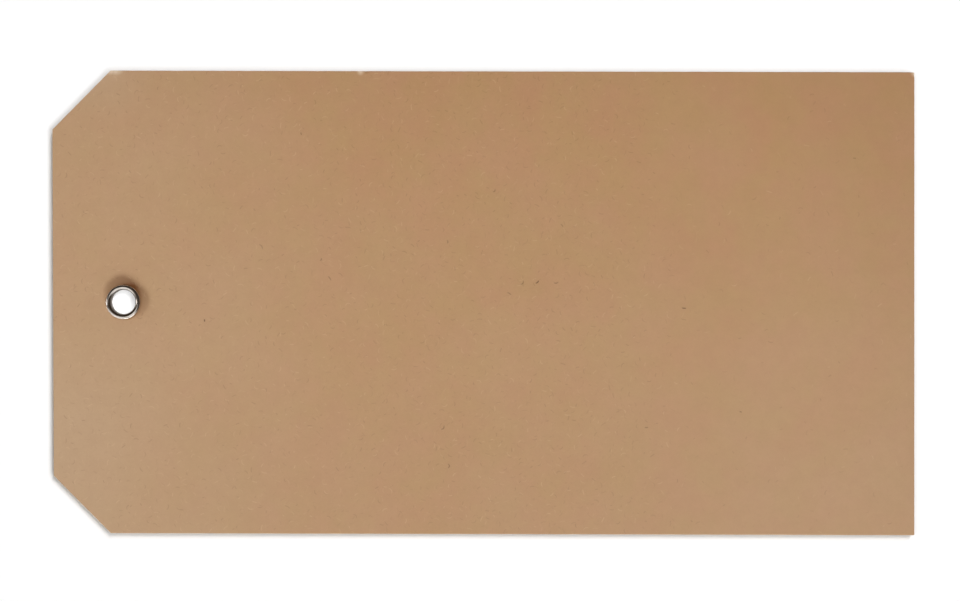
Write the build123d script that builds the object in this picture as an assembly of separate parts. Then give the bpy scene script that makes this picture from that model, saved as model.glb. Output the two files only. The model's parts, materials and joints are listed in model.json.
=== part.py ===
from build123d import *

import os

# A blank gift tag: a stiff card with two clipped corners at the end that is tied on,
# and a one-piece metal eyelet clinched through the card near that end.
# Sizes are in millimetres. +X runs from the clipped end to the square end, +Y across
# the card and +Z out of its front face. The origin is under the middle of the card,
# level with the lowest point of the eyelet, which is the crest of its back roll.

# Card blank
card_length = 120.0
card_width = 64.5
card_thickness = 0.45
corner_clip = 8.1
cut_edge_round = 0.06

# Eyelet: a thin tube whose two ends are rolled over outwards, each onto one card face
eyelet_inset = 9.9
bore_radius = 1.7
metal_wall = 0.2
front_roll_hollow = 0.17
front_skirt = 0.15
back_roll_hollow = 0.22
back_skirt = 0.1

# Seats that the rolls press into the card, and the room for the tube in its hole
hole_clearance = 0.03
seat_margin = 0.06
front_seat_depth = 0.03
front_seat_slope = 0.3
back_seat_depth = 0.03
back_seat_slope = 0.3

# Rolls seen in section: outer radius of the bend, and the distance of its middle
# from the eyelet's axis
front_roll = front_roll_hollow + metal_wall
back_roll = back_roll_hollow + metal_wall
front_roll_middle = bore_radius + front_roll
back_roll_middle = bore_radius + back_roll
tube_radius = bore_radius + metal_wall

# Heights, from the crest of the back roll upwards
back_roll_level = back_roll
back_seat_level = back_roll_level + back_skirt
card_back_level = back_seat_level - back_seat_depth
card_front_level = card_back_level + card_thickness
front_seat_level = card_front_level - front_seat_depth
front_roll_level = front_seat_level + front_skirt

eyelet_x = eyelet_inset - card_length / 2


def make_blank():
    """The die-cut card, with the slight round that the cutter leaves on its front rim."""
    half_length = card_length / 2
    half_width = card_width / 2
    outline = Polyline(
        (-half_length, half_width - corner_clip),
        (-half_length + corner_clip, half_width),
        (half_length, half_width),
        (half_length, -half_width),
        (-half_length + corner_clip, -half_width),
        (-half_length, -half_width + corner_clip),
        close=True,
    )
    face = Pos(0, 0, card_back_level) * make_face(outline)
    blank = extrude(face, card_thickness, dir=(0, 0, 1))
    front_rim = blank.faces().sort_by(Axis.Z)[-1].edges()
    return fillet(front_rim, cut_edge_round)


def seat_cutter(roll_edge, seat_level, slope_width, face_level):
    """A shallow dish: a flat seat under the roll's edge, then a slope out to the face."""
    seat_radius = roll_edge + seat_margin
    rim_radius = seat_radius + slope_width
    section = Polyline(
        (0, 0, seat_level),
        (seat_radius, 0, seat_level),
        (rim_radius, 0, face_level),
        (0, 0, face_level),
        close=True,
    )
    return Pos(eyelet_x, 0, 0) * revolve(make_face(section), Axis.Z)


def make_card():
    """The blank with its eyelet hole, and the dish pressed into each face around it."""
    hole_middle = (card_front_level + card_back_level) / 2
    hole = Pos(eyelet_x, 0, hole_middle) * Cylinder(tube_radius + hole_clearance, 2 * card_thickness)
    front_seat = seat_cutter(
        front_roll_middle + front_roll, front_seat_level, front_seat_slope, card_front_level
    )
    back_seat = seat_cutter(
        back_roll_middle + back_roll, back_seat_level, back_seat_slope, card_back_level
    )
    return make_blank() - front_seat - back_seat - hole


def make_eyelet():
    """The tube and both rolls as one thin wall, drawn in section and turned about its axis."""
    front_crest = (front_roll_middle, 0, front_roll_level + front_roll)
    front_hollow_top = (front_roll_middle, 0, front_roll_level + front_roll_hollow)
    back_crest = (back_roll_middle, 0, back_roll_level - back_roll)
    back_hollow_floor = (back_roll_middle, 0, back_roll_level - back_roll_hollow)

    front_skirt_out = (front_roll_middle + front_roll, 0, front_roll_level)
    front_skirt_in = (front_roll_middle + front_roll_hollow, 0, front_roll_level)
    front_edge_out = (front_roll_middle + front_roll, 0, front_seat_level)
    front_edge_in = (front_roll_middle + front_roll_hollow, 0, front_seat_level)

    back_skirt_out = (back_roll_middle + back_roll, 0, back_roll_level)
    back_skirt_in = (back_roll_middle + back_roll_hollow, 0, back_roll_level)
    back_edge_out = (back_roll_middle + back_roll, 0, back_seat_level)
    back_edge_in = (back_roll_middle + back_roll_hollow, 0, back_seat_level)

    bore_top = (bore_radius, 0, front_roll_level)
    bore_foot = (bore_radius, 0, back_roll_level)
    tube_top = (tube_radius, 0, front_roll_level)
    tube_foot = (tube_radius, 0, back_roll_level)

    section = [
        Line(front_edge_out, front_skirt_out),
        ThreePointArc(front_skirt_out, front_crest, bore_top),
        Line(bore_top, bore_foot),
        ThreePointArc(bore_foot, back_crest, back_skirt_out),
        Line(back_skirt_out, back_edge_out),
        Line(back_edge_out, back_edge_in),
        Line(back_edge_in, back_skirt_in),
        ThreePointArc(back_skirt_in, back_hollow_floor, tube_foot),
        Line(tube_foot, tube_top),
        ThreePointArc(tube_top, front_hollow_top, front_skirt_in),
        Line(front_skirt_in, front_edge_in),
        Line(front_edge_in, front_edge_out),
    ]
    return Pos(eyelet_x, 0, 0) * revolve(make_face(section), Axis.Z)


pieces = {
    "card": make_card(),
    "eyelet": make_eyelet(),
}

os.makedirs("parts", exist_ok=True)
for node, piece in pieces.items():
    export_step(piece, f"parts/{node}.step")
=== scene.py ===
"""A blank kraft gift tag: a die-cut card with clipped corners and a rolled metal eyelet."""

import json
import math
import random
from typing import NamedTuple

import bmesh
import bpy
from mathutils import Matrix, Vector, noise
from mathutils.geometry import delaunay_2d_cdt


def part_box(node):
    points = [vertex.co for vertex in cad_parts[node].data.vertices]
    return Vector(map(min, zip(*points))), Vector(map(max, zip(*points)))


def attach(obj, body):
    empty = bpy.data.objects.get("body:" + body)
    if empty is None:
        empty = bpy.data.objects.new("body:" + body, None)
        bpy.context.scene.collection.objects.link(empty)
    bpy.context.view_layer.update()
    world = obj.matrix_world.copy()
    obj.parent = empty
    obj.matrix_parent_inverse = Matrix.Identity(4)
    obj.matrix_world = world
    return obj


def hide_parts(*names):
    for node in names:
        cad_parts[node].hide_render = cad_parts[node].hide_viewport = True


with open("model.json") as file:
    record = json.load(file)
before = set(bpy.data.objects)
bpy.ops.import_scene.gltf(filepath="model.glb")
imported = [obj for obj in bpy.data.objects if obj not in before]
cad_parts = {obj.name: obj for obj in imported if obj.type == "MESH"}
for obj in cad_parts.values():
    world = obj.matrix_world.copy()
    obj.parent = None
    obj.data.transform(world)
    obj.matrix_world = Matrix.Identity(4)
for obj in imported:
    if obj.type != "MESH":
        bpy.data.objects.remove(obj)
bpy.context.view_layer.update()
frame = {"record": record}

MM = 0.001
MM_PER_M = 1000.0

# The frame: where the card and the eyelet are, and the eyelet's bore
card_low, card_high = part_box("card")
card_middle = (card_low + card_high) / 2
eyelet_low, eyelet_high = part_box("eyelet")
punch_drift = Vector((0.02 * MM, 0.07 * MM, 0))
eyelet_axis = (eyelet_low + eyelet_high) / 2 + punch_drift
bore_mount = next(m for m in frame["record"]["mounts"] if m["name"] == "eyelet_bore")
bore_radius = bore_mount["dims"]["r_mm"] * MM
bore_length = bore_mount["dims"]["length_mm"] * MM
bore_middle = bore_mount["pos_m"][2]

# Rolls of the eyelet: the level where the bend leaves the bore, its outer radius, and its edge from the axis.
# The back roll is the wider one, so its edge is that of the eyelet's box.
front_roll_level = bore_middle + bore_length / 2
back_roll_level = bore_middle - bore_length / 2
front_roll = eyelet_high.z - front_roll_level
back_roll = back_roll_level - eyelet_low.z
front_roll_edge = bore_radius + 2 * front_roll
back_roll_edge = (eyelet_high.x - eyelet_low.x) / 2

# Eyelet section
metal_wall = 0.2 * MM
eyelet_segments = 192
bend_steps = 20
lip_steps = 6

# Card blank
corner_clip = 8.1 * MM
corner_round = 0.12 * MM
hole_clearance = 0.03 * MM
outline_step = 0.7 * MM
outline_fuzz = 0.012 * MM
fuzz_seed = 7
sheet_step = 1.9 * MM
face_support = 0.3 * MM

# Cut edge: rounded at the front, and half as deep at the back
rim_round = 0.035 * MM
rim_support = 0.035 * MM
rim_steps = 4
back_rim_share = 0.5

# Slight waviness of the sheet, which is flat at the eyelet
warp_height = 0.03 * MM
warp_size = 45.0 * MM
warp_slice = 0.3
flat_reach = 12.0 * MM

# How far each corner of the die cut is off, in millimetres, anticlockwise from the upper left
cut_wander = ((0.0, -0.10), (0.255, 0.03), (0.127, 0.146), (0.0, 0.0), (-0.08, -0.074), (-0.03, 0.0))

# Dish that each roll of the eyelet presses into the card
dish_depth = 0.03 * MM
dish_slope = 0.12 * MM
dish_margin = 0.02 * MM
dish_rings = 8
dish_support = (0.03 * MM, 0.15 * MM, 0.5 * MM)
dish_segments = 96

# Mesh making. The sheet is cut into triangles over its whole hull, in millimetres.
sharp_angle = math.radians(40)
merge_distance = 1e-7
triangle_tolerance = 1e-6
whole_hull = 0


class EdgeMark(NamedTuple):
    """Damage on the card's upper long edge: lengths in millimetres, torn as a share, and split as a share of
    a painted shadow line along a tear's wall.
    """

    x: float
    along: float
    into: float
    push: tuple = (0.0, 0.0)
    drop: float = 0.0
    torn: float = 0.0
    split: float = 0.0


frayed_clip = EdgeMark(x=-51.5, along=1.5, into=0.75, torn=1.0)
lifted_nick = EdgeMark(x=-17.15, along=0.6, into=0.7, drop=-0.02, torn=0.75)
# The nick's torn wall: the face drops there, and a painted shadow line runs along it
nick_shadow_line = EdgeMark(x=-16.4, along=0.16, into=0.5, push=(0.0, -0.04), drop=0.08, split=0.4)
crushed_corner = EdgeMark(x=60.0, along=0.7, into=0.9, push=(-0.03, -0.03), drop=0.01, torn=1.0)
edge_marks = (frayed_clip, lifted_nick, nick_shadow_line, crushed_corner)
torn_gain = 1.6

# Closer points at the marks: along the rim and in rows inside it
mark_step = 0.12 * MM
mark_rows = (0.42 * MM, 0.54 * MM, 0.68 * MM, 0.9 * MM)
mark_spread = 1.2
mark_band = 2.0 * MM


class Fleck(NamedTuple):
    """A bark fleck pressed into the front face: place and half length in millimetres, turn in degrees."""

    x: float
    y: float
    reach: float
    turn: float
    bow: float
    dark: float


flecks = (
    Fleck(-38.8, -2.5, 0.20, 90, 0.0, 1.0),
    Fleck(7.5, 2.9, 0.34, 42, 0.1, 0.9),
    Fleck(27.9, -0.7, 0.32, 177, 0.0, 0.8),
    Fleck(-5.6, -17.4, 0.44, 52, 0.3, 0.6),
    Fleck(-4.8, -22.7, 0.40, 87, 0.35, 0.55),
    Fleck(5.4, 2.8, 0.44, 52, 0.35, 0.55),
    Fleck(-22.6, 6.0, 0.24, 67, 0.1, 0.55),
    Fleck(10.1, 2.8, 0.38, 9, 0.2, 0.5),
    Fleck(35.8, -15.1, 0.19, 162, 0.0, 0.55),
    Fleck(22.7, -17.3, 0.26, 2, 0.05, 0.5),
    Fleck(-25.4, 23.5, 0.22, 107, 0.0, 0.5),
    Fleck(1.5, 15.6, 0.30, 52, 0.2, 0.5),
    Fleck(-5.0, 8.5, 0.27, 94, 0.15, 0.5),
    Fleck(3.6, 1.3, 0.37, 147, 0.1, 0.45),
    Fleck(-21.4, 3.4, 0.40, 124, 0.1, 0.45),
    Fleck(-30.9, 7.8, 0.46, 123, 0.2, 0.4),
    Fleck(10.9, 10.8, 0.29, 130, 0.1, 0.4),
    Fleck(51.6, 20.2, 0.24, 174, 0.0, 0.4),
)
fleck_width = 0.13 * MM
fleck_clearance = 0.9 * MM
fleck_steps = 6
fleck_taper = 4
fleck_bow_level = 0.3

# Camera, fitted to the photograph's frame of 960 by 601 pixels. Its roll is in radians.
image_width = 960
camera_distance = 215.0 * MM
camera_focal_pixels = 1545.5
camera_offset = (-0.482 * MM, 0.333 * MM)
camera_roll = 0.00138
sensor_width = 36.0


# Node building

# Sockets of a Mix node that mixes colours. Their names are shared with its hidden sockets.
mix_share = 0
mix_first = 6
mix_second = 7
mix_result = 2


class Graph:
    """Places nodes in one tree. An input is another node's output socket or a plain value."""

    def __init__(self, tree):
        self.tree = tree

    def feed(self, socket, value):
        if isinstance(value, bpy.types.NodeSocket):
            self.tree.links.new(value, socket)
        else:
            socket.default_value = value

    def fill(self, sockets, values):
        for socket, value in values.items():
            self.feed(sockets[socket], value)

    def put(self, kind, inputs=None, **settings):
        node = self.tree.nodes.new(kind)
        for name, setting in settings.items():
            setattr(node, name, setting)
        self.fill(node.inputs, inputs or {})
        return node

    def maths(self, operation, first, second=0.0, third=0.0):
        inputs = {0: first, 1: second, 2: third}
        return self.put("ShaderNodeMath", inputs, operation=operation).outputs[0]

    def times(self, first, second):
        return self.maths("MULTIPLY", first, second)

    def redraw(self, draw, stretch):
        """Another random share, out of the later digits of one that is already in use."""
        return self.maths("FRACT", self.times(draw, stretch))

    def ramp(self, value, start, end, first=0.0, last=1.0):
        """A smooth change from first to last, while the value goes from start to end."""
        inputs = {"Value": value, "From Min": start, "From Max": end, "To Min": first, "To Max": last}
        node = self.put("ShaderNodeMapRange", inputs, interpolation_type="SMOOTHSTEP")
        return node.outputs["Result"]

    def vector(self, operation, first, second):
        inputs = {0: first, 1: second}
        return self.put("ShaderNodeVectorMath", inputs, operation=operation).outputs["Vector"]

    def scale(self, vector, factor):
        inputs = {0: vector, "Scale": factor}
        return self.put("ShaderNodeVectorMath", inputs, operation="SCALE").outputs["Vector"]

    def measure(self, operation, first, second=(0, 0, 0)):
        """One number from one or two vectors, such as a distance."""
        inputs = {0: first, 1: second}
        return self.put("ShaderNodeVectorMath", inputs, operation=operation).outputs["Value"]

    def split(self, vector):
        return self.put("ShaderNodeSeparateXYZ", {0: vector}).outputs

    def join(self, x=0.0, y=0.0, z=0.0):
        return self.put("ShaderNodeCombineXYZ", {"X": x, "Y": y, "Z": z}).outputs[0]

    def mix(self, share, first, second):
        node = self.put("ShaderNodeMix", data_type="RGBA")
        self.fill(node.inputs, {mix_share: share, mix_first: first, mix_second: second})
        return node.outputs[mix_result]

    def noise(self, vector, scale, detail=2.0, roughness=0.5):
        inputs = {"Vector": vector, "Scale": scale, "Detail": detail, "Roughness": roughness}
        return self.put("ShaderNodeTexNoise", inputs).outputs["Fac"]

    def bump(self, height, strength, distance):
        inputs = {"Strength": strength, "Distance": distance, "Height": height}
        return self.put("ShaderNodeBump", inputs).outputs["Normal"]

    def attribute(self, name):
        return self.put("ShaderNodeAttribute", attribute_name=name).outputs["Fac"]

    def group(self, tree, **inputs):
        """Places a shader group. A socket called "Pale share" is written pale_share here."""
        node = self.put("ShaderNodeGroup", node_tree=tree)
        for name, value in inputs.items():
            self.feed(node.inputs[name.replace("_", " ").capitalize()], value)
        return node.outputs


def new_group(name, inputs, outputs):
    """An empty shader group with float or vector sockets, and its graph, input and output nodes."""
    tree = bpy.data.node_groups.new(name, "ShaderNodeTree")
    for socket, default in inputs.items():
        kind = "NodeSocketFloat" if isinstance(default, float) else "NodeSocketVector"
        made = tree.interface.new_socket(socket, in_out="INPUT", socket_type=kind)
        if kind == "NodeSocketFloat":
            made.default_value = default
    for socket in outputs:
        tree.interface.new_socket(socket, in_out="OUTPUT", socket_type="NodeSocketFloat")
    graph = Graph(tree)
    return graph, graph.put("NodeGroupInput").outputs, graph.put("NodeGroupOutput").inputs


def new_material(name):
    """A material with one Principled shader, and the graph and sockets to feed it."""
    material = bpy.data.materials.new(name)
    material.use_nodes = True
    graph = Graph(material.node_tree)
    return material, graph, material.node_tree.nodes["Principled BSDF"].inputs


def millimetres(graph):
    """The place on the object, in millimetres of its own frame."""
    place = graph.put("ShaderNodeTexCoord").outputs["Object"]
    return graph.scale(place, MM_PER_M)


# Shared effects

# Scattered fibres: how short and how faint one can be, how much of its length has its full tone, how rare
# the strong ones are, and the stretches that make more random shares out of one
shortest_fibre = 0.4
faintest_fibre = 0.2
full_tone_length = 0.6
strong_fibre_rarity = 3.0
presence_stretch = 17.0
strength_stretch = 29.0

# Card pulp: what its fibres and its grain add to tone and height
hue_offset = (31.0, 17.0, 0.0)
felt_line_share = 0.12
dark_curl_height = 0.6
grain_height = 0.5


def make_scattered_fibres():
    """One bent fibre in some cells of a random pattern, as a mask. Lengths are in millimetres."""
    inputs = {
        "Vector": (0, 0, 0),
        "Cell": 1.0,
        "Length": 0.4,
        "Width": 0.05,
        "Bend": 1.0,
        "Share": 0.5,
        "Seed": 0.0,
    }
    graph, given, made = new_group("scattered_fibres", inputs, ["Mask"])
    shift = graph.join(x=given["Seed"], y=given["Seed"])
    scaled = graph.scale(given["Vector"], graph.maths("DIVIDE", 1.0, given["Cell"]))
    place = graph.vector("ADD", scaled, shift)
    cells = graph.put("ShaderNodeTexVoronoi", {"Vector": place, "Scale": 1.0}, voronoi_dimensions="2D")
    draw = graph.put("ShaderNodeSeparateColor", {"Color": cells.outputs["Color"]}).outputs

    local = graph.scale(graph.vector("SUBTRACT", place, cells.outputs["Position"]), given["Cell"])
    angle = graph.times(draw["Red"], math.tau)
    turned = graph.put("ShaderNodeVectorRotate", {"Vector": local, "Angle": angle}, rotation_type="Z_AXIS")
    along, across, _ = graph.split(turned.outputs[0])
    bend = graph.times(given["Bend"], graph.maths("SUBTRACT", draw["Blue"], 0.5))
    bow = graph.times(bend, graph.times(along, along))
    off_line = graph.maths("ABSOLUTE", graph.maths("SUBTRACT", across, bow))
    line = graph.ramp(off_line, start=given["Width"], end=0.0)
    reach = graph.times(given["Length"], graph.ramp(draw["Green"], 0.0, 1.0, first=shortest_fibre))
    span = graph.ramp(graph.maths("ABSOLUTE", along), start=reach, end=graph.times(reach, full_tone_length))

    present = graph.maths("LESS_THAN", graph.redraw(draw["Green"], presence_stretch), given["Share"])
    luck = graph.maths("POWER", graph.redraw(draw["Blue"], strength_stretch), strong_fibre_rarity)
    strength = graph.maths("MULTIPLY_ADD", luck, 1 - faintest_fibre, faintest_fibre)
    graph.feed(made["Mask"], graph.times(graph.times(line, span), graph.times(present, strength)))
    return graph.tree


def make_pulp(fibres):
    """Card pulp: cloudy tone, matted felt and single curled fibres, with the height that goes with them."""
    inputs = {"Vector": (0, 0, 0), "Fibre size": 1.0, "Pale share": 0.6, "Dark share": 0.6}
    outputs = ["Cloud", "Hue", "Felt", "Grain", "Pale fibre", "Dark fibre", "Height"]
    graph, given, made = new_group("card_pulp", inputs, outputs)
    place = graph.scale(given["Vector"], graph.maths("DIVIDE", 1.0, given["Fibre size"]))

    def layer(**values):
        return graph.group(fibres, vector=place, **values)["Mask"]

    pale_curl = layer(cell=1.3, length=0.50, width=0.11, bend=3.0, share=given["Pale share"], seed=3.0)
    dark_curl = layer(cell=1.05, length=0.46, width=0.11, bend=3.4, share=given["Dark share"], seed=23.0)
    felt_line = {"cell": 0.9, "length": 0.42, "width": 0.06, "bend": 2.0, "share": 0.8}
    matted = graph.maths("SUBTRACT", layer(**felt_line, seed=11.0), layer(**felt_line, seed=37.0))
    felt = graph.noise(place, scale=0.6, detail=3.0, roughness=0.6)
    grain = graph.noise(place, scale=3.0, detail=3.0, roughness=0.6)
    hue_place = graph.vector("ADD", place, hue_offset)
    curled = graph.maths("ADD", pale_curl, graph.times(dark_curl, dark_curl_height))
    graph.fill(made, {
        "Cloud": graph.noise(place, scale=0.07, detail=3.0, roughness=0.55),
        "Hue": graph.noise(hue_place, scale=0.15, detail=4.0, roughness=0.65),
        "Felt": graph.maths("ADD", felt, graph.times(matted, felt_line_share)),
        "Grain": grain,
        "Pale fibre": pale_curl,
        "Dark fibre": dark_curl,
        "Height": graph.maths("ADD", curled, graph.times(grain, grain_height)),
    })
    return graph.tree


fibre_group = make_scattered_fibres()
pulp_group = make_pulp(fibre_group)


# Materials

kraft_olive = (0.4565, 0.2755, 0.1253, 1)
kraft_rosy = (0.4745, 0.2625, 0.1345, 1)
# Paler kraft, for the random cloudy fading and for the painted sheen
kraft_faded_and_sheen = (0.505, 0.341, 0.2020, 1)
kraft_dark = (0.210, 0.105, 0.045, 1)
kraft_pale = (0.600, 0.410, 0.250, 1)
kraft_torn = (0.680, 0.530, 0.380, 1)
bark_and_shadow_tone = (0.050, 0.010, 0.001, 1)
pale_fibre_share = 0.45
dark_fibre_share = 0.38
back_pattern_shift = 147.0
edge_layering = (1.0, 1.0, 9.0)


class Drift(NamedTuple):
    """A tone that comes in along one direction of the face, from start to end in millimetres."""

    way: tuple
    start: float
    end: float
    share: float


class Patch(NamedTuple):
    """A tone that comes in towards one place on the face, from reach to core in millimetres."""

    middle: tuple
    reach: float
    core: float
    share: float


eyelet_place = tuple(eyelet_axis * MM_PER_M)
# Painted sheen: the card paler towards the left end, towards the lower edge and in a few patches, as light on
# its gloss would show. The last patch takes some of it back.
painted_sheen_tones = (
    Drift((1, 0, 0), start=-8.0, end=-66.0, share=0.54),
    Drift((0, 1, 0), start=50.0, end=-25.0, share=0.26),
    Patch((-52.5, 31.5, 1.0), reach=8.0, core=0.0, share=0.35),
    Patch((-61.0, -19.0, 1.0), reach=22.0, core=0.0, share=0.18),
    Patch((62.0, -22.0, 1.0), reach=50.0, core=0.0, share=0.14),
    Patch((-56.0, 6.0, 1.0), reach=20.0, core=0.0, share=-0.13),
)
# Darker towards the right end, along both long edges and round the eyelet
darker_tones = (
    Drift((1, 0.25, 0), start=42.0, end=68.0, share=0.09),
    Drift((0, 1, 0), start=16.0, end=34.0, share=0.05),
    Drift((0, 1, 0), start=-2.0, end=-34.0, share=0.07),
    Patch(eyelet_place, reach=7.0, core=3.0, share=0.05),
)

# Plating of the eyelet, rougher inside the bore, where its near-black colour is painted shade
plating_bright = (0.72, 0.665, 0.61, 1)
plating_tarnished = (0.50, 0.44, 0.37, 1)
bore_painted_shade = (0.12, 0.094, 0.071, 1)
dull_shaded_start = bore_radius + 0.13 * MM
dull_shaded_end = bore_radius + 0.03 * MM
dull_roughness = 0.3
scratch_stretch = (1.5, 24.0, 24.0)


def tone_share(graph, place, tone):
    """How much of a drift or patch there is at this place on the face."""
    if isinstance(tone, Drift):
        along = graph.measure("DOT_PRODUCT", place, tone.way)
        return graph.ramp(along, tone.start, tone.end, last=tone.share)
    away = graph.measure("DISTANCE", place, tone.middle)
    return graph.ramp(away, tone.reach, tone.core, last=tone.share)


def make_kraft_face():
    """The card's two faces: brown pulp, matt with a slight calendered sheen, pale where it is torn, and a
    painted sheen that makes it paler towards the left end and the lower edge.
    """
    material, graph, shader = new_material("kraft_face")
    place = millimetres(graph)
    x, _, z = graph.split(place)
    on_back = graph.maths("LESS_THAN", z, card_middle.z * MM_PER_M)
    own_pattern = graph.times(on_back, back_pattern_shift)
    matted = graph.vector("ADD", place, graph.join(x=own_pattern, y=own_pattern))
    pale_share = graph.ramp(x, start=14.0, end=32.0, first=0.95, last=0.08)
    dark_start = graph.ramp(x, start=-24.0, end=-10.0, first=0.6, last=0.98)
    dark_end = graph.ramp(x, start=14.0, end=32.0, first=1.0, last=0.16)
    dark_share = graph.times(dark_start, dark_end)
    pulp = graph.group(pulp_group, vector=matted, pale_share=pale_share, dark_share=dark_share)

    faded_and_sheen = graph.ramp(pulp["Cloud"], start=0.3, end=0.7, first=-0.06, last=0.06)
    # The painted sheen, on top of the random fading
    for painted_sheen in painted_sheen_tones:
        faded_and_sheen = graph.maths("ADD", faded_and_sheen, tone_share(graph, place, painted_sheen))
    tone = graph.mix(graph.ramp(pulp["Hue"], start=0.3, end=0.7), kraft_olive, kraft_rosy)
    tone = graph.mix(faded_and_sheen, tone, kraft_faded_and_sheen)
    # The darker tones
    for darkening in darker_tones:
        tone = graph.mix(tone_share(graph, place, darkening), tone, kraft_dark)
    tone = graph.mix(graph.ramp(pulp["Felt"], start=0.25, end=0.75, first=0.07, last=0.0), tone, kraft_dark)
    tone = graph.mix(graph.ramp(pulp["Grain"], start=0.3, end=0.75, last=0.04), tone, kraft_dark)
    tone = graph.mix(graph.times(pulp["Pale fibre"], pale_fibre_share), tone, kraft_pale)
    tone = graph.mix(graph.times(pulp["Dark fibre"], dark_fibre_share), tone, kraft_dark)
    # Bark flecks, and the painted shadow line along the nick's torn wall
    tone = graph.mix(graph.attribute("fleck"), tone, bark_and_shadow_tone)
    frayed = graph.ramp(pulp["Grain"], start=0.25, end=0.6, first=0.6)
    tone = graph.mix(graph.times(graph.attribute("torn"), frayed), tone, kraft_torn)
    graph.fill(shader, {
        "Base Color": tone,
        "Roughness": graph.ramp(pulp["Grain"], start=0.2, end=0.8, first=0.37, last=0.43),
        "Normal": graph.bump(pulp["Height"], strength=0.25, distance=0.01 * MM),
    })
    return material


def make_kraft_edge():
    """The die-cut edge: the sheet's layers of pulp, a little darker and rougher than the faces."""
    material, graph, shader = new_material("kraft_cut_edge")
    layered = graph.vector("MULTIPLY", millimetres(graph), edge_layering)
    pulp = graph.group(pulp_group, vector=layered, fibre_size=0.5)
    streaks = graph.noise(layered, scale=1.6)
    tone = graph.mix(graph.ramp(pulp["Felt"], start=0.35, end=0.65, last=0.4), kraft_olive, kraft_dark)
    tone = graph.mix(graph.ramp(streaks, start=0.35, end=0.7, last=0.5), tone, kraft_pale)
    tone = graph.mix(graph.attribute("torn"), tone, kraft_torn)
    graph.fill(shader, {
        "Base Color": tone,
        "Roughness": graph.ramp(pulp["Grain"], start=0.2, end=0.8, first=0.75, last=0.95),
        "Normal": graph.bump(pulp["Height"], strength=0.6, distance=0.02 * MM),
    })
    return material


def make_plated_metal():
    """The eyelet's bright plating, with faint tarnish and fine scratches around its rolls; rougher in the
    bore, and near-black there as painted shade.
    """
    material, graph, shader = new_material("plated_metal")
    place = graph.vector("SUBTRACT", millimetres(graph), eyelet_place)
    x, y, z = graph.split(place)
    reach = graph.measure("LENGTH", graph.join(x=x, y=y))
    around = graph.join(x=graph.maths("ARCTAN2", y, x), y=reach, z=z)
    stretched = graph.vector("MULTIPLY", around, scratch_stretch)
    scratches = graph.noise(stretched, scale=1.0, detail=3.0, roughness=0.6)
    tarnish = graph.noise(place, scale=1.3, detail=4.0, roughness=0.6)
    tarnished = graph.ramp(tarnish, start=0.4, end=0.75, last=0.6)
    tone = graph.mix(tarnished, plating_bright, plating_tarnished)
    # Inside the bore the plating is rougher, and its near-black colour there is painted shade
    dull_shaded_bore = graph.ramp(reach, start=dull_shaded_start * MM_PER_M, end=dull_shaded_end * MM_PER_M)
    polish = graph.ramp(scratches, start=0.3, end=0.8, first=0.12, last=0.24)
    graph.fill(shader, {
        "Base Color": graph.mix(dull_shaded_bore, tone, bore_painted_shade),
        "Metallic": 1.0,
        "Roughness": graph.maths("ADD", polish, graph.times(dull_shaded_bore, dull_roughness)),
        "Normal": graph.bump(scratches, strength=0.1, distance=0.01 * MM),
    })
    return material


# Meshes

def ease(share):
    """A share from 0 to 1 with a slow start and a slow end."""
    return share * share * (3 - 2 * share)


def circle_points(radius, segments, offset=0.0):
    """Points round the eyelet's axis, turned by a share of one segment."""
    turns = [math.tau * (k + offset) / segments for k in range(segments)]
    return [eyelet_axis.xy + Vector((math.cos(t), math.sin(t))) * radius for t in turns]


def join_rings(mesh, one, other, material_index=0):
    """A band of faces between two closed rings of points."""
    for k in range(len(one)):
        face = mesh.faces.new((one[k - 1], other[k - 1], other[k], one[k]))
        face.smooth = True
        face.material_index = material_index


def finish_mesh(mesh, name, materials):
    """Closes a bmesh into a named object with its materials."""
    bmesh.ops.recalc_face_normals(mesh, faces=mesh.faces)
    data = bpy.data.meshes.new(name)
    mesh.to_mesh(data)
    mesh.free()
    for material in materials:
        data.materials.append(material)
    data.set_sharp_from_angle(angle=sharp_angle)
    made = bpy.data.objects.new(name, data)
    bpy.context.scene.collection.objects.link(made)
    return made


# Card outline and marks

rng = random.Random(fuzz_seed)


def card_corners():
    """The six corners of the blank as cut, anticlockwise seen from the front."""
    left, right, low, high = card_low.x, card_high.x, card_low.y, card_high.y
    true = [
        (left, high - corner_clip),
        (left, low + corner_clip),
        (left + corner_clip, low),
        (right, low),
        (right, high),
        (left + corner_clip, high),
    ]
    return [Vector(corner) + Vector(off) * MM for corner, off in zip(true, cut_wander)]


def inset_corners(corners, distance):
    """The same corners for an outline that lies this far inside the cut edge."""
    moved = []
    for i, corner in enumerate(corners):
        before = (corners[i - 1] - corner).normalized()
        after = (corners[(i + 1) % len(corners)] - corner).normalized()
        moved.append(corner + (before + after).normalized() * distance / math.sin(before.angle(after) / 2))
    return moved


def mark_share(mark, place):
    """How much of an edge mark is felt at this place: 1 in its middle, 0 beyond its reach."""
    across = (place.x / MM - mark.x) / mark.along
    into = (place.y - card_high.y) / MM / mark.into
    return max(0.0, 1 - math.hypot(across, into))


def torn_share(place):
    """How torn the front is at this place."""
    return min(1.0, sum(m.torn * mark_share(m, place) * torn_gain for m in edge_marks))


def near_mark(place):
    """Whether this place on the outline needs closer points."""
    in_band = place.y > card_high.y - mark_band
    return in_band and any(abs(place.x / MM - m.x) < m.along * mark_spread for m in edge_marks)


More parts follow.
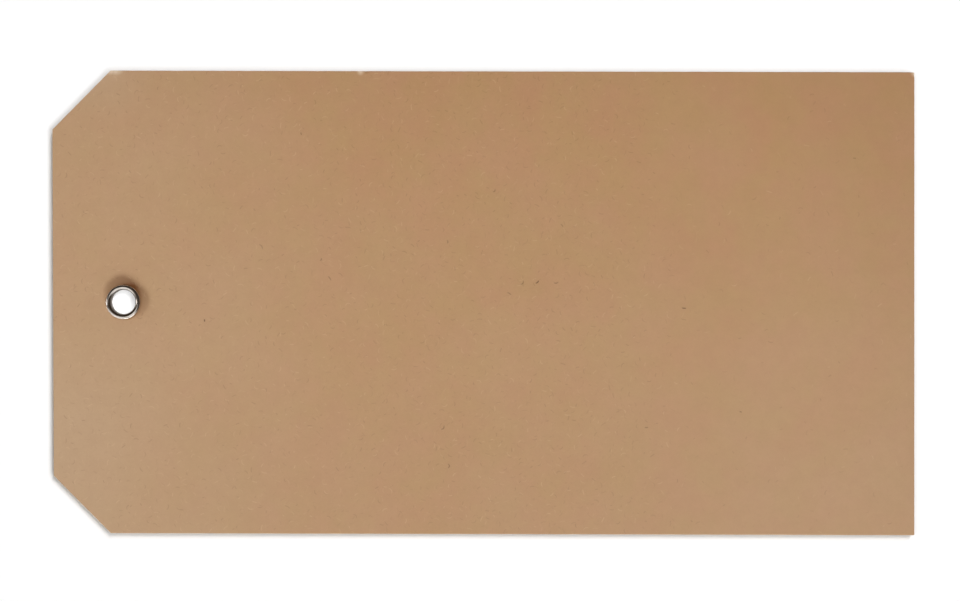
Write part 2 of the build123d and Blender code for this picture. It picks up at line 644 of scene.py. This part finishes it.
def rounded_outline(corners):
    """Points along an outline, with a small round at each corner and closer steps at the edge's marks."""
    points = []
    for i, corner in enumerate(corners):
        following = corners[(i + 1) % len(corners)]
        before = (corners[i - 1] - corner).normalized()
        after = (following - corner).normalized()
        setback = corner_round / math.tan(before.angle(after) / 2)
        start, end = corner + before * setback, corner + after * setback
        points += [start, (start + 2 * corner + end) / 4, end]
        run = (following - end).length - setback
        cuts = [0.0]
        while cuts[-1] < run:
            cuts.append(cuts[-1] + (mark_step if near_mark(end + after * cuts[-1]) else outline_step))
        points += [end + after * (cut * run / cuts[-1]) for cut in cuts[1:-1]]
    return points


def inward_normals(points):
    """The direction into the sheet at each point of an anticlockwise outline."""
    normals = []
    for i in range(len(points)):
        along = (points[(i + 1) % len(points)] - points[i - 1]).normalized()
        normals.append(Vector((-along.y, along.x)))
    return normals


def cut_edge(corners):
    """The outline as the cutter and later handling left it: slightly fuzzy, and pushed in at the marks."""
    outline = rounded_outline(corners)
    edge = []
    for point, normal in zip(outline, inward_normals(outline)):
        push = sum((Vector(m.push) * MM * mark_share(m, point) for m in edge_marks), Vector((0, 0)))
        edge.append(point + push + normal * rng.uniform(0, outline_fuzz))
    return edge


# Card faces

def dish(place, roll_edge):
    """How deep a roll presses the card here."""
    distance = (place - eyelet_axis.xy).length
    share = min(max((distance - roll_edge - dish_margin) / dish_slope, 0.0), 1.0)
    return dish_depth * (1 - ease(share))


def warp(place):
    """The sheet's slight waviness, as a height. It fades out at the eyelet."""
    wave = noise.noise(Vector((place.x / warp_size, place.y / warp_size, warp_slice)))
    near = min((place - eyelet_axis.xy).length / flat_reach, 1.0)
    return warp_height * wave * near * near


def front_height(place):
    """The level of the front face, with its dish and the marks' drops."""
    drop = sum(m.drop * MM * mark_share(m, place) for m in edge_marks)
    return card_high.z + warp(place) - dish(place, front_roll_edge) - drop


def back_height(place):
    """The level of the back face, with its dish."""
    return card_low.z + warp(place) + dish(place, back_roll_edge)


def clear_of_flecks(place):
    """Whether this place is far enough from every fleck for a plain point of the sheet."""
    return all((place - Vector((f.x, f.y)) * MM).length > fleck_clearance for f in flecks)


def field_points(corners, keep_out):
    """An even spread of points over the sheet, clear of its rim, of the flecks and of the eyelet."""
    inner = inset_corners(corners, face_support + sheet_step / 2)
    sides = list(zip(inner, inner[1:] + inner[:1]))
    columns = int((card_high.x - card_low.x) / sheet_step) + 1
    rows = int((card_high.y - card_low.y) / sheet_step) + 1
    points = []
    for i in range(columns):
        for j in range(rows):
            stagger = 0.5 * (j % 2)
            place = Vector((card_low.x + (i + stagger) * sheet_step, card_low.y + j * sheet_step))
            inside = all((b - a).cross(place - a) > 0 for a, b in sides)
            if inside and (place - eyelet_axis.xy).length > keep_out and clear_of_flecks(place):
                points.append(place)
    return points


def mark_points():
    """Close points inside the rim at each edge mark, so that its shape and tone show."""
    columns = set()
    for mark in edge_marks:
        first = math.floor((mark.x - mark.along) * MM / mark_step)
        last = math.ceil((mark.x + mark.along) * MM / mark_step)
        columns.update(range(first, last + 1))
    points = []
    for column in sorted(columns):
        for depth in mark_rows:
            place = Vector((column * mark_step, card_high.y - depth))
            if card_low.x + corner_clip + depth < place.x < card_high.x - mark_rows[0]:
                points.append(place)
    return points


def fleck_points():
    """Points of each fleck with how dark they are: a dark line between two rows that are clear."""
    points = []
    for fleck in flecks:
        turn = math.radians(fleck.turn)
        along = Vector((math.cos(turn), math.sin(turn)))
        across = Vector((-along.y, along.x))
        for k in range(fleck_steps + 1):
            t = 2 * k / fleck_steps - 1
            bow = fleck.bow * (t * t - fleck_bow_level)
            line = Vector((fleck.x, fleck.y)) + along * fleck.reach * t + across * bow
            points.append((line * MM, fleck.dark * (1 - t ** fleck_taper)))
            points += [(line * MM + across * side * fleck_width, 0.0) for side in (-1, 1)]
    return points


def dish_circles():
    """Circles of points round the hole, from its edge over the dish to the flat sheet."""
    hole_radius = bore_radius + metal_wall + hole_clearance
    dish_reach = front_roll_edge + dish_margin + dish_slope
    step = (dish_reach - hole_radius) / (dish_rings - 1)
    inner = [hole_radius + step * k for k in range(dish_rings)]
    outer = [dish_reach + beyond for beyond in dish_support]
    circles = []
    for radii in (inner, outer):
        circles += [circle_points(r, dish_segments, offset=0.5 * (k % 2)) for k, r in enumerate(radii)]
    return circles, dish_reach


class Sheet(NamedTuple):
    """One face laid flat: its points, which of them are rim, hole and flecks, and its triangles."""

    points: list
    rim: list
    hole: list
    darkness: dict
    triangles: list


def lay_out_sheet(corners, outlines):
    """The points of one face, and the triangles between its rim and its hole."""
    circles, dish_reach = dish_circles()
    points, loops = [], []
    for loop in (*outlines, *circles):
        loops.append(list(range(len(points), len(points) + len(loop))))
        points += loop
    rim, hole = loops[0], loops[len(outlines)]

    inked = fleck_points()
    darkness = {len(points) + k: dark for k, (_, dark) in enumerate(inked)}
    points += [place for place, _ in inked]
    points += mark_points()
    points += field_points(corners, dish_reach + sheet_step / 2)

    edges = [(loop[k - 1], loop[k]) for loop in loops for k in range(len(loop))]
    scaled = [p * MM_PER_M for p in points]
    found, _, faces, *_ = delaunay_2d_cdt(scaled, edges, [], whole_hull, triangle_tolerance)
    assert len(found) == len(points), "two points of the sheet fell together"
    on_rim, on_hole = set(rim), set(hole)
    triangles = []
    for face in faces:
        a, b, c = (points[v] for v in sorted(face))
        outside = on_rim.issuperset(face) and (b - a).cross(c - a) < 0
        if not outside and not on_hole.issuperset(face):
            triangles.append(face)
    return Sheet(points, rim, hole, darkness, triangles)


def rim_rings(mesh, edge, normals, torn):
    """The rings of points down the cut edge, between the rim of the front and that of the back."""
    arc = [math.radians(90 * k / rim_steps) for k in range(1, rim_steps + 1)]
    round_over = [(rim_round * (1 - math.sin(a)), rim_round * (1 - math.cos(a))) for a in arc]
    rings = []
    for inset, drop in round_over:
        places = [point + normal * inset for point, normal in zip(edge, normals)]
        rings.append([mesh.verts.new((*place, front_height(place) - drop)) for place in places])
        for vertex, place in zip(rings[-1], places):
            vertex[torn] = torn_share(place)
    for inset, drop in reversed(round_over):
        places = [point + normal * inset for point, normal in zip(edge, normals)]
        rise = back_rim_share * drop
        rings.append([mesh.verts.new((*place, back_height(place) + rise)) for place in places])
    return rings


def make_card(face_material, edge_material):
    """The card as one closed mesh: two faces, a rounded cut edge and the eyelet's hole."""
    corners = card_corners()
    edge = cut_edge(corners)
    normals = inward_normals(edge)
    rim = [p + n * rim_round for p, n in zip(edge, normals)]
    rim_inside = [p + n * rim_support for p, n in zip(rim, normals)]
    support = rounded_outline(inset_corners(corners, face_support))
    sheet = lay_out_sheet(corners, [rim, rim_inside, support])

    mesh = bmesh.new()
    torn = mesh.verts.layers.float.new("torn")
    fleck = mesh.verts.layers.float.new("fleck")
    front = [mesh.verts.new((*p, front_height(p))) for p in sheet.points]
    back = [mesh.verts.new((*p, back_height(p))) for p in sheet.points]
    for vertex, place in zip(front, sheet.points):
        vertex[torn] = torn_share(place)
        # Split marks write the painted shadow line into the fleck layer
        vertex[fleck] = sum(m.split * mark_share(m, place) for m in edge_marks)
    for index, dark in sheet.darkness.items():
        front[index][fleck] = dark
    for a, b, c in sheet.triangles:
        mesh.faces.new((front[a], front[b], front[c])).smooth = True
        mesh.faces.new((back[c], back[b], back[a])).smooth = True

    front_rim = [front[v] for v in sheet.rim]
    back_rim = [back[v] for v in sheet.rim]
    rings = [front_rim, *rim_rings(mesh, edge, normals, torn), back_rim]
    hole_rings = [[back[v] for v in sheet.hole], [front[v] for v in sheet.hole]]
    for upper, lower in [*zip(rings, rings[1:]), hole_rings]:
        join_rings(mesh, upper, lower, material_index=1)
    return finish_mesh(mesh, "kraft_card", [face_material, edge_material])


# Eyelet

def bend(middle, radius, start, end, steps):
    """Points along an arc in the eyelet's section, as (distance from the axis, height)."""
    points = []
    for k in range(steps + 1):
        angle = math.radians(start + (end - start) * k / steps)
        points.append((middle[0] + radius * math.cos(angle), middle[1] + radius * math.sin(angle)))
    return points


def eyelet_section():
    """The thin wall in section: front roll, bore, back roll, then back along the hidden side."""
    lip = metal_wall / 2
    front_middle = (bore_radius + front_roll, front_roll_level)
    back_middle = (bore_radius + back_roll, back_roll_level)
    front_lip_middle = (front_middle[0] + front_roll - lip, card_high.z - dish_depth + lip)
    back_lip_middle = (back_middle[0] + back_roll - lip, card_low.z + dish_depth - lip)
    return (
        bend(front_middle, front_roll, 0, 180, bend_steps)
        + bend(back_middle, back_roll, 180, 360, bend_steps)
        + bend(back_lip_middle, lip, 0, 180, lip_steps)
        + bend(back_middle, back_roll - metal_wall, 360, 180, bend_steps)
        + bend(front_middle, front_roll - metal_wall, 180, 0, bend_steps)
        + bend(front_lip_middle, lip, 180, 360, lip_steps)
    )


def make_eyelet(material):
    """The eyelet: its section turned about its axis."""
    mesh = bmesh.new()
    rings = []
    for reach, height in eyelet_section():
        rings.append([mesh.verts.new((*point, height)) for point in circle_points(reach, eyelet_segments)])
    for k in range(len(rings)):
        join_rings(mesh, rings[k - 1], rings[k])
    bmesh.ops.remove_doubles(mesh, verts=mesh.verts, dist=merge_distance)
    return finish_mesh(mesh, "rolled_eyelet", [material])


card = make_card(make_kraft_face(), make_kraft_edge())
eyelet = make_eyelet(make_plated_metal())
for piece, node, slot in ((card, "card", "kraft_card"), (eyelet, "eyelet", "plated_metal")):
    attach(piece, "root")
    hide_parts(node)


# Stage

floor_white = (0.9, 0.9, 0.9, 1)
floor_half_size = 3.0
room_white = (1, 1, 1, 1)
room_fill = 0.03

# Dark screen: a part of a dome in degrees, with a soft white end at each side
screen_tone = (0.03, 0.03, 0.03, 1)
screen_glow = (0.042, 0.029, 0.020, 1)
screen_distance = 4.0
screen_start = -64
screen_end = 222
screen_low = 2
screen_high = 90
screen_start_softness = 28.0
screen_end_softness = 34.0
screen_columns = 96
screen_rows = 12

# Lamps of the key strip: azimuth and elevation in degrees, and power in watts
key_strip = ((187, 17, 80.0), (212, 17, 34.0), (238, 16, 24.0), (264, 15.5, 66.0), (286, 16, 98.0))
key_distance = 3.0
key_size = (1.3, 0.35)
key_tint = (0.81, 0.916, 1.0)
fill_tint = (1.0, 0.455, 0.136)
floor_lamp_distance = 5.0
hole_light_place = eyelet_axis + Vector((0.45, 0.3, 0)) * MM


def direction(azimuth, elevation):
    """The way from the origin to what stands round the tag. Azimuth is from +X towards +Y, in degrees."""
    turn, rise = math.radians(azimuth), math.radians(elevation)
    return Vector((math.cos(turn) * math.cos(rise), math.sin(turn) * math.cos(rise), math.sin(rise)))


def make_floor():
    """A plain white floor under the tag, which keeps the tag's shadow."""
    material, graph, shader = new_material("white_floor")
    graph.fill(shader, {"Base Color": floor_white, "Roughness": 0.9, "Specular IOR Level": 0.0})
    half = floor_half_size
    mesh = bmesh.new()
    corners = [(-half, -half), (half, -half), (half, half), (-half, half)]
    mesh.faces.new([mesh.verts.new((x, y, eyelet_low.z)) for x, y in corners])
    floor = finish_mesh(mesh, "floor", [material])
    return floor


def make_dark_screen():
    """A dark studio screen round part of the set, seen only in reflections."""
    material, graph, shader = new_material("dark_screen")
    graph.fill(shader, {
        "Base Color": screen_tone,
        "Roughness": 1.0,
        "Specular IOR Level": 0.0,
        "Emission Color": graph.mix(graph.attribute("glow"), screen_glow, room_white),
        "Emission Strength": 1.0,
    })
    mesh = bmesh.new()
    glow = mesh.verts.layers.float.new("glow")
    grid = []
    for i in range(screen_columns + 1):
        azimuth = screen_start + (screen_end - screen_start) * i / screen_columns
        from_start = (azimuth - screen_start) / screen_start_softness
        from_end = (screen_end - azimuth) / screen_end_softness
        column = []
        for j in range(screen_rows + 1):
            elevation = screen_low + (screen_high - screen_low) * j / screen_rows
            vertex = mesh.verts.new(direction(azimuth, elevation) * screen_distance)
            vertex[glow] = ease(max(0.0, 1 - from_start, 1 - from_end))
            column.append(vertex)
        grid.append(column)
    for one, other in zip(grid, grid[1:]):
        for j in range(screen_rows):
            mesh.faces.new((one[j], other[j], other[j + 1], one[j + 1]))
    screen = finish_mesh(mesh, "dark_screen", [material])
    screen.visible_camera = False
    screen.visible_diffuse = False
    screen.visible_transmission = False
    screen.visible_shadow = False


def lit_alone(name, piece):
    """A collection with the one piece that its lamps light."""
    made = bpy.data.collections.new(name)
    made.objects.link(piece)
    return made


def add_lamp(name, lamp, place, receivers):
    """Puts a lamp in the scene, for the pieces that it lights."""
    made = bpy.data.objects.new(name, lamp)
    made.location = place
    made.light_linking.receiver_collection = receivers
    bpy.context.scene.collection.objects.link(made)
    return made


def add_softbox(name, receivers, azimuth, elevation, distance, size, power, tint=(1, 1, 1)):
    """A soft oblong lamp aimed at the card."""
    lamp = bpy.data.lights.new(name, "AREA")
    lamp.shape = "RECTANGLE"
    lamp.size, lamp.size_y = size
    lamp.energy = power
    lamp.color = tint
    away = direction(azimuth, elevation)
    made = add_lamp(name, lamp, away * distance, receivers)
    made.rotation_euler = away.to_track_quat("Z", "Y").to_euler()
    made.visible_camera = False
    return made


def add_spot(name, receivers, place, height, reach, power):
    """A narrow lamp straight above this place, whose beam has this reach round it."""
    lamp = bpy.data.lights.new(name, "SPOT")
    lamp.spot_size = 2 * math.atan(reach / height)
    lamp.spot_blend = 1.0
    lamp.shadow_soft_size = 0.0
    lamp.energy = power
    add_lamp(name, lamp, place + Vector((0, 0, height)), receivers)


def light_card(receivers):
    """A cool strip of key lamps on one side, a warm fill from above, and a sheen on the pulp."""
    for k, (azimuth, elevation, power) in enumerate(key_strip):
        add_softbox(f"key_{k}", receivers, azimuth, elevation, key_distance, key_size, power, key_tint)
    warm_fill = add_softbox(
        "warm_fill",
        receivers,
        azimuth=60,
        elevation=80,
        distance=3.0,
        size=(1.0, 1.0),
        power=19.8,
        tint=fill_tint,
    )
    warm_fill.visible_glossy = False
    sheen = add_softbox(
        "sheen",
        receivers,
        azimuth=315,
        elevation=60,
        distance=0.9,
        size=(0.35, 0.35),
        power=0.9,
    )
    sheen.visible_diffuse = False


def light_eyelet(receivers):
    """A small lamp that glints on the rolls."""
    add_softbox("glint", receivers, azimuth=180, elevation=30, distance=0.6, size=(0.12, 0.12), power=0.22)


def light_floor(receivers):
    """Wide lamps that keep the floor white and its shadows soft, and a narrow one through the eyelet."""
    add_spot("hole_light", receivers, hole_light_place, height=0.5, reach=1.85 * MM, power=4.8)
    for name, azimuth, elevation, size, power in (
        ("floor_wide", 344, 47.5, (5.75, 1.37), 180.0),
        ("floor_tall", 57, 48.5, (0.42, 2.43), 169.0),
        ("floor_fill", 185, 55.3, (5.5, 1.12), 62.0),
    ):
        add_softbox(name, receivers, azimuth, elevation, floor_lamp_distance, size, power)


def make_world():
    """A white room to the camera and in the metal, and a dim fill to the rest."""
    world = bpy.data.worlds.new("studio")
    world.use_nodes = True
    graph = Graph(world.node_tree)
    path = graph.put("ShaderNodeLightPath").outputs
    seen = graph.maths("MAXIMUM", path["Is Camera Ray"], path["Is Glossy Ray"])
    seen = graph.maths("MAXIMUM", seen, path["Is Transmission Ray"])
    strength = graph.ramp(seen, start=0.0, end=1.0, first=room_fill)
    graph.fill(world.node_tree.nodes["Background"].inputs, {"Color": room_white, "Strength": strength})
    bpy.context.scene.world = world


def add_camera():
    """An overhead camera at the photograph's angle and framing."""
    lens = bpy.data.cameras.new("camera")
    lens.sensor_width = sensor_width
    lens.lens = camera_focal_pixels / image_width * sensor_width
    lens.clip_start = 0.01
    lens.clip_end = 20.0
    made = bpy.data.objects.new("camera", lens)
    made.location = (*camera_offset, card_high.z + camera_distance)
    made.rotation_euler = (0, 0, camera_roll)
    bpy.context.scene.collection.objects.link(made)
    bpy.context.scene.camera = made


floor = make_floor()
make_dark_screen()
light_card(lit_alone("lit_card", card))
light_eyelet(lit_alone("lit_eyelet", eyelet))
light_floor(lit_alone("lit_floor", floor))
make_world()
add_camera()
bpy.context.scene.view_settings.view_transform = "Standard"
